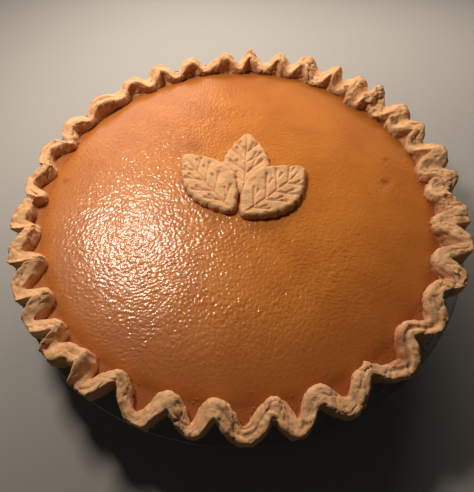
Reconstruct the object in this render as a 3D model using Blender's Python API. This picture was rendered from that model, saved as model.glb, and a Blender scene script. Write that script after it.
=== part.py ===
"""A pumpkin pie in its glass pie plate, with a pinched crust and three pastry leaves on top.

Metres, +Z up. The origin is on the table, under the middle of the plate.
Angles run from +X (the pie's right) towards +Y (its back).
"""

import math

import bmesh
import bpy
import numpy as np

# Plate: one line, from the floor round a corner and up the wall, gives every layer of the pie.
RIM_RADIUS = 0.130
PLATE_HEIGHT = 0.042
GLASS = 0.0045  # wall and floor
FLOOR_RADIUS = 0.087  # of the inside, to the sharp corner before it is rounded
MOUTH_RADIUS = 0.1155  # of the inside, at the level of the flange
CORNER_RADIUS = 0.012
RIM_ROUND = 0.0018
GAP = 0.0003  # between neighbouring pieces
WALL_SLOPE = math.atan2(MOUTH_RADIUS - FLOOR_RADIUS, PLATE_HEIGHT - GLASS)

# Pastry and filling
CRUST_WALL = 0.0034
LIP_HEIGHT = 0.0463  # where the crust's inside leaves the filling
FILLING_EDGE = 0.0460
FILLING_SHOULDER = 0.0009  # how far the filling rounds off at its edge
FILLING_SHOULDER_WIDTH = 0.007
FILLING_DOME = 0.0031

# Pinched rim: a ribbon of dough that swings between an inner and an outer line
FLUTES = 34
FLUTE_SHIFT = 0.613  # in flutes
FLUTE_CROWDING = ((1, 0.63, 150), (2, 0.33, 160))  # harmonic, flutes, degrees
FLUTE_POINTEDNESS = 0.82  # 0 is a sine, 1 a zigzag
OUTER_LINE = 0.1241
OUTER_SWELL = ((1, 0.0025, 274), (2, 0.0018, 38))  # harmonic, metres, degrees
INNER_LINE = 0.1156
INNER_SWELL = ((1, 0.0009, 270), (3, 0.0006, 90))
FLUTE_WANDER = 0.0016
DOUGH_HALF = 0.0039
DOUGH_WANDER = 0.0007
THICK_PLACES = ((38, 28, 0.0017), (5, 40, 0.0008))  # degrees, width in degrees, metres
CREST = 0.0534
CREST_SLANT = 0.0029  # how far the outer bends stand higher at one side, and lower at the other
SLANT_TOWARDS = 75  # degrees; the outer bends are highest here
CREST_WANDER = 0.0011
SCOOP_FILL = 0.85  # at the back, the outer bends slope down to the filling instead of standing up
SCOOPS_TOWARDS = 52  # degrees; they are full there and fade out to both sides
SCOOP_SHARE = 0.3
SCOOP_CHANGE = 1.3
FOOT_RADIUS = 0.119  # the least the rim covers of the flange
OVERHANG_HEIGHT = 0.0485  # above this, the rim may lean in over the filling
CRUST_REACH = 0.1297

# Leaves
LEAF_FULLNESS = 0.85  # less is blunter
LEAF_SCALLOPS = 9
SCALLOP_DEPTH = 0.0007
LEAF_END = 0.0007  # half width of the blunt tip and stem
MIDRIB_DEPTH = 0.0008
LEAVES = {  # stem, tip, thickness, half width to the left and to the right of its midrib
    "leaf_back": ((0.0050, 0.0010), (0.0092, 0.0484), 0.0040, (0.0132, 0.0130)),
    "leaf_left": ((-0.0028, -0.0098), (-0.0307, 0.0332), 0.0050, (0.0121, 0.0162)),
    "leaf_right": ((0.0022, -0.0126), (0.0411, 0.0188), 0.0050, (0.0166, 0.0144)),
}

# Facets
SIDES = 68
COLUMNS_PER_FLUTE = 6
LEAF_STATIONS = 19
LEAF_LANES = (-1.0, -0.84, -0.18, 0.0, 0.18, 0.84, 1.0)


def clear_scene():
    for old in list(bpy.data.objects):
        bpy.data.objects.remove(old, do_unlink=True)


def material(name, colour, roughness, transmission=0.0):
    """A Principled material of one colour."""
    made = bpy.data.materials.new(name)
    made.use_nodes = True
    shader = made.node_tree.nodes["Principled BSDF"]
    shader.inputs["Base Color"].default_value = (*colour, 1.0)
    shader.inputs["Roughness"].default_value = roughness
    shader.inputs["Metallic"].default_value = 0.0
    shader.inputs["Transmission Weight"].default_value = transmission
    return made


def add_object(name, bm, finish):
    """The finished solid as a smooth-shaded object, its faces turned outwards."""
    bmesh.ops.remove_doubles(bm, verts=bm.verts, dist=1e-6)
    bmesh.ops.recalc_face_normals(bm, faces=bm.faces)
    mesh = bpy.data.meshes.new(name)
    bm.to_mesh(mesh)
    bm.free()
    mesh.shade_smooth()
    mesh.set_sharp_from_angle(angle=math.radians(40))
    mesh.materials.append(finish)
    made = bpy.data.objects.new(name, mesh)
    bpy.context.collection.objects.link(made)
    return made


def arc(centre, radius, start, end, steps):
    """Points on an arc in the (radius, height) plane; degrees."""
    turns = np.radians(np.linspace(start, end, steps + 1))
    return [(centre[0] + radius * math.cos(t), centre[1] + radius * math.sin(t)) for t in turns]


def bowl_line(inset, top, steps=3):
    """The plate's inside from its middle to height top, moved into the pie by inset."""
    floor = GLASS + inset
    radius = CORNER_RADIUS - inset
    corner = FLOOR_RADIUS - inset * (1 - math.sin(WALL_SLOPE)) / math.cos(WALL_SLOPE)
    turn = math.degrees(math.pi / 2 - WALL_SLOPE)
    middle = corner - radius * math.tan(math.radians(turn) / 2)
    rounded = arc((middle, floor + radius), radius, -90, turn - 90, steps)
    wall_top = (corner + (top - floor) * math.tan(WALL_SLOPE), top)
    return [(0.0, floor), *rounded, wall_top]


def turned(profile):
    """A closed solid spun round the Z axis from an outline that starts and ends on it."""
    bm = bmesh.new()
    points = [bm.verts.new((radius, 0.0, height)) for radius, height in profile]
    edges = [bm.edges.new(pair) for pair in zip(points, points[1:])]
    bmesh.ops.spin(
        bm,
        geom=points + edges,
        cent=(0, 0, 0),
        axis=(0, 0, 1),
        angle=math.tau,
        steps=SIDES,
        use_merge=True,
    )
    return bm


def glass_dish(finish):
    """Sloping plate with a flat flange and a rounded rim."""
    outside = bowl_line(-GLASS, PLATE_HEIGHT - GLASS)
    edge = RIM_RADIUS - RIM_ROUND
    under = arc((edge, PLATE_HEIGHT - GLASS + RIM_ROUND), RIM_ROUND, -90, 0, 2)
    over = arc((edge, PLATE_HEIGHT - RIM_ROUND), RIM_ROUND, 0, 90, 2)
    inside = bowl_line(0.0, PLATE_HEIGHT)
    return add_object("glass_dish", turned(outside + under + over + inside[::-1]), finish)


def filling_top(radius):
    """Height of the filling: a low dome that rounds off at its edge."""
    rim = bowl_line(CRUST_WALL + 2 * GAP, FILLING_EDGE)[-1][0]
    dome = FILLING_DOME * (1 - (radius / rim) ** 2)
    shoulder = max(0.0, (radius - rim) / FILLING_SHOULDER_WIDTH + 1)
    return FILLING_EDGE + FILLING_SHOULDER * (1 - shoulder**2) + dome


def filling(finish):
    """Solid custard, from the pastry under it to its domed top."""
    outside = bowl_line(CRUST_WALL + 2 * GAP, FILLING_EDGE)
    rim = outside[-1][0]
    rings = [rim * part for part in (0.98, 0.94, 0.75, 0.4, 0.0)]
    top = [(radius, filling_top(radius)) for radius in rings]
    return add_object("filling", turned(outside + top), finish)


def swell(angle, line, waves):
    """A radius round the rim: a circle and a few slow waves."""
    radius = line
    for harmonic, height, peak in waves:
        radius = radius + height * np.cos(harmonic * angle - math.radians(peak))
    return radius


def flute_count(angle):
    """Flutes passed by this angle: a whole number at each outer crest."""
    passed = FLUTES * angle / math.tau + FLUTE_SHIFT
    for harmonic, height, peak in FLUTE_CROWDING:
        passed = passed + height * np.cos(harmonic * angle - math.radians(peak))
    return passed


def wander(count, seed):
    """Smooth seeded noise from -1 to 1, with a new value at each crest and each hollow."""
    values = np.random.default_rng(seed).uniform(-1, 1, 2 * FLUTES)
    before = np.floor(2 * count).astype(int)
    blend = 0.5 - 0.5 * np.cos(np.pi * (2 * count - before))
    return values[before % len(values)] * (1 - blend) + values[(before + 1) % len(values)] * blend


def hill(angle, place):
    """A smooth hill round one angle: its middle and width in degrees, and its height."""
    middle, width, height = place
    away = (np.degrees(angle) - middle + 180) % 360 - 180
    return height * np.exp(-((away / width) ** 2))


def ribbon(angle):
    """Middle radius and swing (1 outside, -1 inside) of the pinched ribbon."""
    count = flute_count(angle)
    swing = np.arcsin(FLUTE_POINTEDNESS * np.cos(math.tau * count)) / math.asin(FLUTE_POINTEDNESS)
    outer = swell(angle, OUTER_LINE, OUTER_SWELL)
    inner = swell(angle, INNER_LINE, INNER_SWELL)
    middle = inner + (outer - inner) * (1 + swing) / 2 + FLUTE_WANDER * wander(count, 3)
    return middle, swing


def ribbon_sides(angle):
    """Inner and outer radius of the ribbon: what a disc rolled along its middle covers."""
    dense = np.linspace(0, math.tau, 2400, endpoint=False)
    middle, _ = ribbon(dense)
    half = DOUGH_HALF + DOUGH_WANDER * wander(flute_count(dense), 5)
    half = half + sum(hill(dense, place) for place in THICK_PLACES)
    away = angle[:, None] - dense[None, :]
    reach = half**2 - (middle * np.sin(away)) ** 2
    near = (reach > 0) & (np.cos(away) > 0)
    chord = np.sqrt(np.where(near, reach, 0))
    along = middle * np.cos(away)
    outer = np.where(near, along + chord, 0).max(axis=1)
    inner = np.where(near, along - chord, 1).min(axis=1)
    return inner, np.minimum(outer, CRUST_REACH)


def rim_rows(angle):
    """The pinched rim as rows of (radius, height) arrays, from its outer foot over to the lip."""
    middle, swing = ribbon(angle)
    inner, outer = ribbon_sides(angle)
    foot = PLATE_HEIGHT + GAP
    slant = CREST_SLANT * np.cos(angle - math.radians(SLANT_TOWARDS))
    rise = CREST + slant * swing + CREST_WANDER * wander(flute_count(angle), 11) - foot
    out = outer - middle
    back = inner - middle
    lip = bowl_line(CRUST_WALL + GAP, LIP_HEIGHT)[-1][0] + 2 * GAP
    behind = np.clip(SCOOP_SHARE + SCOOP_CHANGE * np.cos(angle - math.radians(SCOOPS_TOWARDS)), 0, 1)
    upright = np.maximum(inner, lip)
    sloped = lip + (1 - SCOOP_FILL * behind) * (upright - lip)
    least_height = np.full_like(angle, OVERHANG_HEIGHT)
    return [
        (np.maximum(middle + 0.85 * out, FOOT_RADIUS), foot + 0 * rise),
        (np.maximum(middle + out, FOOT_RADIUS), foot + 0.3 * rise),
        (middle + 0.97 * out, foot + 0.7 * rise),
        (middle + 0.7 * out, foot + 0.96 * rise),
        (middle, foot + rise),
        (middle + 0.7 * back, foot + 0.97 * rise),
        (middle + 0.98 * back, np.maximum(foot + 0.75 * rise, least_height + GAP)),
        (sloped, least_height),
        (sloped, np.full_like(angle, LIP_HEIGHT + GAP)),
    ]


def ring(bm, angle, radius, height):
    """One ring of vertices; radius and height are numbers or arrays."""
    radius = np.broadcast_to(radius, angle.shape)
    height = np.broadcast_to(height, angle.shape)
    return [
        bm.verts.new((r * math.cos(a), r * math.sin(a), z))
        for a, r, z in zip(angle, radius, height)
    ]


def zip_rings(bm, first, second, first_angles, second_angles):
    """Triangles between two rings that have different numbers of vertices."""
    i = j = 0
    ends = [[*angles, angles[0] + math.tau] for angles in (first_angles, second_angles)]
    while i < len(first) or j < len(second):
        a = first[i % len(first)]
        b = second[j % len(second)]
        step_first = j == len(second) or (i < len(first) and ends[0][i + 1] < ends[1][j + 1])
        if step_first:
            i += 1
            bm.faces.new((a, first[i % len(first)], b))
        else:
            j += 1
            bm.faces.new((a, second[j % len(second)], b))


def stack_rings(bm, angles, rows):
    """Rings of vertices for rows of (radius, height), joined by four-sided faces."""
    rings = [ring(bm, angles, radius, height) for radius, height in rows]
    for lower, upper in zip(rings, rings[1:]):
        for k in range(len(lower)):
            after = (k + 1) % len(lower)
            bm.faces.new((lower[k], lower[after], upper[after], upper[k]))
    return rings


def flute_angles():
    """Angles that divide every flute alike, so that each crest and hollow has a vertex."""
    dense = np.linspace(-0.5, math.tau + 0.5, 4000)
    passed = flute_count(dense)
    first = math.ceil(float(flute_count(np.zeros(1))[0]) * COLUMNS_PER_FLUTE)
    counts = (first + np.arange(FLUTES * COLUMNS_PER_FLUTE)) / COLUMNS_PER_FLUTE
    return np.interp(counts, passed, dense)


def crust(finish):
    """One shell of pastry: it lines the plate, rests on the flange and stands up as the rim."""
    bm = bmesh.new()
    coarse = np.arange(SIDES) * math.tau / SIDES
    fine = flute_angles()
    under = bowl_line(GAP, PLATE_HEIGHT + GAP)
    upper = bowl_line(CRUST_WALL + GAP, LIP_HEIGHT)
    rim = stack_rings(bm, fine, rim_rows(fine))
    for line, edge in ((under, rim[0]), (upper, rim[-1])):
        shell = stack_rings(bm, coarse, line[1:])
        zip_rings(bm, shell[-1], edge, coarse, fine)
        middle = bm.verts.new((0.0, 0.0, line[0][1]))
        for vert, after in zip(shell[0], shell[0][1:] + shell[0][:1]):
            bm.faces.new((middle, vert, after))
    return add_object("crust", bm, finish)


def leaf_half_width(along, widest):
    """Half width at a share of the length, with scallops on a pointed leaf."""
    body = widest * math.sin(math.pi * along) ** LEAF_FULLNESS
    return LEAF_END + body + SCALLOP_DEPTH * abs(math.sin(math.pi * LEAF_SCALLOPS * along))


def leaf_mesh(name, lanes, margin, heights):
    """A grid from stem to tip and from side to side, between two heights, grown by margin."""
    stem, tip, _, (left, right) = LEAVES[name]
    length = math.dist(stem, tip)
    ux = (tip[0] - stem[0]) / length
    uy = (tip[1] - stem[1]) / length
    bm = bmesh.new()
    tops = []
    bottoms = []
    for station in range(LEAF_STATIONS):
        along = station / (LEAF_STATIONS - 1)
        for lane in lanes:
            side = lane * (leaf_half_width(along, left if lane > 0 else right) + margin)
            ahead = along * length + margin * (2 * along - 1)
            x = stem[0] + ahead * ux - side * uy
            y = stem[1] + ahead * uy + side * ux
            low, high = heights(x, y, along, lane)
            tops.append(bm.verts.new((x, y, high)))
            bottoms.append(bm.verts.new((x, y, low)))
    count = len(lanes)
    for station in range(LEAF_STATIONS - 1):
        for lane in range(count - 1):
            a = station * count + lane
            for side in (tops, bottoms):
                bm.faces.new((side[a], side[a + 1], side[a + count + 1], side[a + count]))
        for lane in (0, count - 1):
            a = station * count + lane
            bm.faces.new((tops[a], tops[a + count], bottoms[a + count], bottoms[a]))
    for station in (0, LEAF_STATIONS - 1):
        for lane in range(count - 1):
            a = station * count + lane
            bm.faces.new((tops[a], tops[a + 1], bottoms[a + 1], bottoms[a]))
    return bm


def leaf(name, finish):
    """A cut-out of dough with a rounded edge and a groove for its midrib, lying on the filling."""
    thickness = LEAVES[name][2]

    def heights(x, y, along, lane):
        low = filling_top(math.hypot(x, y)) + 2 * GAP
        crown = 1 - 0.35 * max(lane**6, abs(2 * along - 1) ** 8)
        groove = MIDRIB_DEPTH if lane == 0.0 else 0.0
        return low, low + thickness * crown - groove

    return add_object(name, leaf_mesh(name, LEAF_LANES, 0.0, heights), finish)


def leaf_cutter(name, finish):
    """The outline of a leaf, a gap wider, as a block that cuts the leaf behind it."""
    bm = leaf_mesh(name, (-1.0, 1.0), GAP, lambda *place: (0.03, 0.07))
    cutter = add_object(name + "_cutter", bm, finish)
    cutter.hide_render = True
    cutter.display_type = "WIRE"
    return cutter


def leaves(finish):
    """The left and right leaf lie in front of the back one, which ends where they begin."""
    made = {name: leaf(name, finish) for name in LEAVES}
    for name in ("leaf_left", "leaf_right"):
        cut = made["leaf_back"].modifiers.new(name, "BOOLEAN")
        cut.operation = "DIFFERENCE"
        cut.solver = "EXACT"
        cut.object = leaf_cutter(name, finish)


def main():
    clear_scene()
    glass = material("clear_glass", (0.62, 0.68, 0.64), 0.03, transmission=0.9)
    pastry = material("baked_pastry", (0.62, 0.36, 0.16), 0.75)
    custard = material("pumpkin_custard", (0.42, 0.14, 0.02), 0.35)
    glass_dish(glass)
    crust(pastry)
    filling(custard)
    leaves(pastry)


main()
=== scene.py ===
# %% [markdown]
# # A pumpkin pie in its glass plate
#
# The pie was baked in a clear glass plate. Its rim is dough that was folded up and pinched
# between two fingers, its filling is a set custard with a finely pebbled skin, and three
# leaves stamped out of the same dough lie on top. The plain solids of the pie come in as a
# frame; each one is replaced here by a finer mesh in the same place.

import math

import bpy
import numpy as np
from mathutils import Matrix, Vector
from mathutils.bvhtree import BVHTree


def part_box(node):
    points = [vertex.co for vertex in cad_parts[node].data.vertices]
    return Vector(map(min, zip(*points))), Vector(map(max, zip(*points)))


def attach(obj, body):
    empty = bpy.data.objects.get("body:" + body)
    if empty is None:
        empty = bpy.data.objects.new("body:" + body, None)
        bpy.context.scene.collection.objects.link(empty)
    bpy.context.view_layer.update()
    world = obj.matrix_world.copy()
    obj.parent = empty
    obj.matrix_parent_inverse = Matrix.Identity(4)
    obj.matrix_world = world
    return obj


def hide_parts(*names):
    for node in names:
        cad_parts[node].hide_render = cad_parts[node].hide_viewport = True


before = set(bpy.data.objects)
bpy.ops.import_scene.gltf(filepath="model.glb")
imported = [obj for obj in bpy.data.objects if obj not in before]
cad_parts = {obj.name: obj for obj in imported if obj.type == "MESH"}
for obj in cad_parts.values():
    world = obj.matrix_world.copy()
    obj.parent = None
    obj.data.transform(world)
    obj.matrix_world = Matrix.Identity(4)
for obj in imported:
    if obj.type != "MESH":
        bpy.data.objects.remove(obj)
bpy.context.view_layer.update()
MM = 0.001
print("frame nodes:", sorted(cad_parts))

# %% [markdown]
# ## Helpers for meshes
#
# Almost everything on a pie is either turned round its middle or follows its edge. Both are
# grids of points: rows run along the outline, columns run round the pie. One function makes
# faces from such a grid, so each piece only has to say where its points are. Smooth steps,
# smooth hills and smooth noise stand for the unevenness of anything shaped by hand.

# %% Mesh helpers
def add_mesh(name, points, faces):
    """A smooth-shaded object at the origin from points (n, 3) in metres and lists of faces."""
    mesh = bpy.data.meshes.new(name)
    mesh.from_pydata(np.asarray(points).tolist(), [], [list(face) for face in faces])
    mesh.validate()
    mesh.shade_smooth()
    made = bpy.data.objects.new(name, mesh)
    bpy.context.scene.collection.objects.link(made)
    return made


def grid_faces(rows, columns, wrap_rows=False):
    """Four-sided faces of a grid that is closed round its columns; point = row * columns + column."""
    row = np.arange(rows if wrap_rows else rows - 1)[:, None] * columns
    above = (row + columns) % (rows * columns)
    here = np.arange(columns)[None, :]
    after = (here + 1) % columns
    quads = np.stack([row + here, row + after, above + after, above + here], axis=-1)
    return quads.reshape(-1, 4)


def polar(angle, radius, height):
    """Points from angles, radii and heights, which may be numbers or arrays."""
    angle, radius, height = np.broadcast_arrays(angle, radius, height)
    return np.stack([radius * np.cos(angle), radius * np.sin(angle), height], axis=-1)


def add_attribute(made, name, values):
    """One number for each vertex, which a material or a node tree can read by name."""
    layer = made.data.attributes.new(name, "FLOAT", "POINT")
    layer.data.foreach_set("value", np.asarray(values, np.float32).ravel())


def hill(degrees, middle, width):
    """A smooth hill of height 1 round one angle; all in degrees."""
    away = (np.asarray(degrees) - middle + 180) % 360 - 180
    return np.exp(-((away / width) ** 2))


def smooth_step(value, low, high):
    """0 below low, 1 above high, and a smooth way between."""
    share = np.clip((value - low) / (high - low), 0, 1)
    return share * share * (3 - 2 * share)


def facing(degrees, middle, low, high):
    """1 on the side of the pie that faces one angle, 0 on the other side."""
    return smooth_step(np.cos(np.radians(np.asarray(degrees) - middle)), low, high)


def lattice_noise(points, size, seed):
    """Smooth noise from -1 to 1 in space: random values on a lattice of this size, blended."""
    table = np.random.default_rng(seed).uniform(-1, 1, 4096)
    place = np.asarray(points) / size
    corner = np.floor(place).astype(np.int64)
    blend = place - corner
    blend = blend * blend * (3 - 2 * blend)
    total = 0
    for step in np.ndindex(2, 2, 2):
        cell = corner + step
        index = (cell[..., 0] * 73856093) ^ (cell[..., 1] * 19349663) ^ (cell[..., 2] * 83492791)
        near = np.where(np.array(step) == 1, blend, 1 - blend).prod(axis=-1)
        total = total + near * table[index % 4096]
    return total


# %% [markdown]
# ## Helpers for node trees
#
# Materials and Geometry Nodes are built the same way: add a node, set its values, link it.
# One small function does all three, so a tree reads from top to bottom like a recipe. Another
# one runs a finished tree on a piece and keeps the result as a plain mesh.

# %% Node helpers
def linear(code):
    """A colour written as sRGB hex, such as C88A4B, as the linear RGBA that shaders take."""
    parts = [int(code[i : i + 2], 16) / 255 for i in (0, 2, 4)]
    return (*[c / 12.92 if c <= 0.04045 else ((c + 0.055) / 1.055) ** 2.4 for c in parts], 1.0)


def add_node(tree, kind, inputs=None, **settings):
    """Adds a node. An input is a value, a socket, or a node, whose first output is then meant."""
    node = tree.nodes.new(kind)
    for name, value in settings.items():
        setattr(node, name, value)
    for name, value in (inputs or {}).items():
        if isinstance(value, bpy.types.Node):
            value = next(output for output in value.outputs if output.enabled)
        if isinstance(value, bpy.types.NodeSocket):
            tree.links.new(value, node.inputs[name])
        else:
            node.inputs[name].default_value = value
    return node


def new_material(name):
    """An empty material, its tree and its Principled shader."""
    made = bpy.data.materials.new(name)
    made.use_nodes = True
    tree = made.node_tree
    return made, tree, tree.nodes["Principled BSDF"]


def new_tree(name, sizes):
    """A Geometry Nodes tree with a Geometry input, named sizes in metres or counts, and one output."""
    tree = bpy.data.node_groups.new(name, "GeometryNodeTree")
    tree.interface.new_socket("Geometry", in_out="INPUT", socket_type="NodeSocketGeometry")
    for label, value in sizes.items():
        kind = "NodeSocketInt" if isinstance(value, int) else "NodeSocketFloat"
        socket = tree.interface.new_socket(label, in_out="INPUT", socket_type=kind)
        socket.default_value = value
    tree.interface.new_socket("Geometry", in_out="OUTPUT", socket_type="NodeSocketGeometry")
    return tree, tree.nodes.new("NodeGroupInput").outputs


def close_tree(tree, geometry, finish):
    """Ends a tree the same way each time: real meshes instead of instances, in one material."""
    real = add_node(tree, "GeometryNodeRealizeInstances", {"Geometry": geometry})
    ended = add_node(tree, "GeometryNodeSetMaterial", {"Geometry": real, "Material": finish})
    add_node(tree, "NodeGroupOutput", {"Geometry": ended})


def bake_tree(source, tree, sizes, name, finish):
    """Runs a tree on an object with these sizes and keeps the result as a plain mesh."""
    modifier = source.modifiers.new(tree.name, "NODES")
    modifier.node_group = tree
    for item in tree.interface.items_tree:
        if item.in_out == "INPUT" and item.name in sizes:
            modifier[item.identifier] = sizes[item.name]
    bpy.context.view_layer.update()
    evaluated = source.evaluated_get(bpy.context.evaluated_depsgraph_get())
    mesh = bpy.data.meshes.new_from_object(evaluated)
    source.modifiers.remove(modifier)
    mesh.name = name
    mesh.materials.clear()
    mesh.materials.append(finish)
    mesh.shade_smooth()
    made = bpy.data.objects.new(name, mesh)
    bpy.context.scene.collection.objects.link(made)
    bpy.data.objects.remove(source)
    print(name, len(mesh.polygons), "faces")
    return made


# %% [markdown]
# ## Measures
#
# The plate gives every layer its place. Its inside is one line: a flat floor, a round corner
# and a sloping wall. Moved into the pie by the thickness of the pastry, the same line is the
# edge of the filling. The sizes are read from the frame where the frame has them.

# %% Sizes of the plate
dish_low, dish_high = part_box("glass_dish")
RIM_RADIUS = (dish_high.x - dish_low.x) / 2
PLATE_HEIGHT = dish_high.z
GLASS = 4.5 * MM
FLOOR_RADIUS = 87 * MM  # of the inside, to the sharp corner before it is rounded
MOUTH_RADIUS = 115.5 * MM
CORNER_RADIUS = 12 * MM
RIM_ROUND = 1.8 * MM
WALL_SLOPE = math.atan2(MOUTH_RADIUS - FLOOR_RADIUS, PLATE_HEIGHT - GLASS)
print("plate", round(2 * RIM_RADIUS / MM), "mm across,", round(PLATE_HEIGHT / MM), "mm high")


def arc(centre, radius, start, end, steps):
    """Points on an arc in the (radius, height) plane; degrees."""
    turns = np.radians(np.linspace(start, end, steps + 1))
    return [(centre[0] + radius * math.cos(t), centre[1] + radius * math.sin(t)) for t in turns]


def bowl_line(inset, top, steps=10):
    """The plate's inside from its middle to height top, moved into the pie by inset."""
    floor = GLASS + inset
    radius = CORNER_RADIUS - inset
    corner = FLOOR_RADIUS - inset * (1 - math.sin(WALL_SLOPE)) / math.cos(WALL_SLOPE)
    turn = math.degrees(math.pi / 2 - WALL_SLOPE)
    middle = corner - radius * math.tan(math.radians(turn) / 2)
    rounded = arc((middle, floor + radius), radius, -90, turn - 90, steps)
    wall_top = (corner + (top - floor) * math.tan(WALL_SLOPE), top)
    return [(0.0, floor), *rounded, wall_top]


def turned(name, profile, sides):
    """A solid turned round the Z axis from an outline that starts and ends on it."""
    angle = np.arange(sides) * math.tau / sides
    rings = np.array(profile[1:-1])
    points = polar(angle[None, :], rings[:, :1], rings[:, 1:]).reshape(-1, 3)
    faces = grid_faces(len(rings), sides).tolist()
    last = (len(rings) - 1) * sides
    ends = [(0, 0, profile[0][1]), (0, 0, profile[-1][1])]
    start, end = len(points), len(points) + 1
    for k in range(sides):
        after = (k + 1) % sides
        faces.append([start, after, k])
        faces.append([end, last + k, last + after])
    return add_mesh(name, np.vstack([points, ends]), faces)


# %% [markdown]
# ## Glass
#
# The plate is pressed borosilicate glass: clear all through, smooth from the mould, and a
# little grey-green where the eye looks along it, as at the rim. It is a solid turned from its
# outline. The pastry reaches a fraction of a millimetre into its wall, so that no film of air
# shines between the two.

# %% Clear pressed glass
def pressed_glass():
    """Clear glass from a polished mould: sharp reflections, and hardly any colour of its own."""
    made, _, shader = new_material("pressed borosilicate glass")
    shader.inputs["Base Color"].default_value = linear("E6EFE9")
    shader.inputs["Roughness"].default_value = 0.02
    shader.inputs["IOR"].default_value = 1.47
    shader.inputs["Transmission Weight"].default_value = 1.0
    return made


DISH_SIDES = 256
outside = bowl_line(-GLASS, PLATE_HEIGHT - GLASS)
rim_centre = RIM_RADIUS - RIM_ROUND
under_rim = arc((rim_centre, PLATE_HEIGHT - GLASS + RIM_ROUND), RIM_ROUND, -90, 0, 6)
over_rim = arc((rim_centre, PLATE_HEIGHT - RIM_ROUND), RIM_ROUND, 0, 90, 6)
inside = bowl_line(0.0, PLATE_HEIGHT)
dish = turned("plate", outside + under_rim + over_rim + inside[::-1], DISH_SIDES)
dish.data.set_sharp_from_angle(angle=math.radians(50))
dish.data.materials.append(pressed_glass())
print("plate", len(dish.data.polygons), "faces")


# %% [markdown]
# ## How the rim was pinched
#
# The rim is a ribbon of dough that swings in and out round the plate. How far in and out, and
# how close together the pinches are, changes slowly round the pie, because a hand made them.
# `flute_count` counts pinches round the pie, so its cosine is a swing. A finger makes a broader
# bend than a plain wave has, so a tanh flattens the cosine a little at both ends. A disc rolled
# along the ribbon's middle covers exactly the dough: rounded on the outside of each bend, and a
# sharp cleft on the inside, as folded dough has.

# %% The flutes
FLUTES = 34
FLUTE_SHIFT = 0.613  # in flutes
FLUTE_CROWDING = ((1, 0.63, 150), (2, 0.33, 160))  # harmonic, flutes, degrees
FLUTE_ROUNDNESS = 0.85  # near 0 is a sine, more gives broader bends and steeper legs
FLUTE_UNEVEN = 0.15  # in flutes: how far a leg may stand from its even place
OUTER_LINE = 124.1 * MM
OUTER_SWELL = ((1, 2.5 * MM, 274), (2, 1.8 * MM, 38))
INNER_LINE = 115.6 * MM
INNER_SWELL = ((1, 0.9 * MM, 270), (3, 0.6 * MM, 90))
FLUTE_WANDER = 2.0 * MM
DOUGH_HALF = 3.9 * MM
DOUGH_WANDER = 1.2 * MM
THICK_PLACES = ((38, 28, 1.7 * MM), (5, 40, 0.8 * MM), (172, 34, -0.3 * MM))  # degrees, width, more
SKEW_PLACES = ((222, 26, 0.10), (172, 22, -0.07), (318, 20, -0.06))  # degrees, width, flutes
CREST = 53.4 * MM
CREST_SLANT = 2.9 * MM  # how far the outer bends stand higher at one side, and lower at the other
SLANT_TOWARDS = 75  # degrees; the outer bends are highest here
CREST_WANDER = 1.1 * MM
SCOOP_FILL = 0.85  # at the back, the outer bends slope down to the filling instead of standing up
SCOOPS_TOWARDS = 52  # degrees
CRUST_REACH = 129.9 * MM


def swell(angle, line, waves):
    """A radius round the rim: a circle and a few slow waves."""
    return line + sum(height * np.cos(n * angle - math.radians(peak)) for n, height, peak in waves)


def flute_count(angle):
    """Flutes passed by this angle: a whole number at each outer crest."""
    passed = FLUTES * angle / math.tau + FLUTE_SHIFT
    return passed + sum(h * np.cos(n * angle - math.radians(peak)) for n, h, peak in FLUTE_CROWDING)


def wander(count, seed):
    """Smooth seeded noise from -1 to 1, with a new value at each crest and each hollow."""
    values = np.random.default_rng(seed).uniform(-1, 1, 2 * FLUTES)
    before = np.floor(2 * count).astype(int)
    blend = 0.5 - 0.5 * np.cos(np.pi * (2 * count - before))
    return values[before % len(values)] * (1 - blend) + values[(before + 1) % len(values)] * blend


def ribbon(angle):
    """Middle radius and swing (1 outside, -1 inside) of the pinched ribbon."""
    count = flute_count(angle)
    degrees = np.degrees(angle)
    skew = sum(flutes * hill(degrees, middle, width) for middle, width, flutes in SKEW_PLACES)
    count = count + skew * np.cos(math.tau * count) + FLUTE_UNEVEN * wander(count, 29)
    swing = np.tanh(FLUTE_ROUNDNESS * np.cos(math.tau * count)) / math.tanh(FLUTE_ROUNDNESS)
    outer = swell(angle, OUTER_LINE, OUTER_SWELL)
    inner = swell(angle, INNER_LINE, INNER_SWELL)
    return inner + (outer - inner) * (1 + swing) / 2 + FLUTE_WANDER * wander(count, 3), swing


def dough_half(angle):
    """Half the thickness of the ribbon: uneven, with a few thicker stretches."""
    half = DOUGH_HALF + DOUGH_WANDER * wander(flute_count(angle), 5)
    half = half + 0.35 * MM * lattice_noise(polar(angle, OUTER_LINE, 0), 4 * MM, 6)
    return half + sum(more * hill(np.degrees(angle), at, width) for at, width, more in THICK_PLACES)


def ribbon_sides(angle):
    """Inner and outer radius of the ribbon: what a disc rolled along its middle covers."""
    farthest = 7.5 * MM
    dense = np.linspace(0, math.tau, 6000, endpoint=False)
    middle, _ = ribbon(dense)
    half = dough_half(dense)
    inner = np.ones_like(angle)
    outer = np.zeros_like(angle)
    steps = int(farthest / INNER_LINE / math.tau * len(dense))
    nearest = np.round(angle / math.tau * len(dense)).astype(int)
    for step in range(-steps, steps + 1):
        k = (nearest + step) % len(dense)
        away = angle - (nearest + step) * math.tau / len(dense)
        reach = half[k] ** 2 - (middle[k] * np.sin(away)) ** 2
        chord = np.sqrt(np.maximum(reach, 0))
        along = middle[k] * np.cos(away)
        outer = np.where(reach > 0, np.maximum(outer, along + chord), outer)
        inner = np.where(reach > 0, np.minimum(inner, along - chord), inner)
    return inner, np.minimum(outer, CRUST_REACH)


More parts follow.
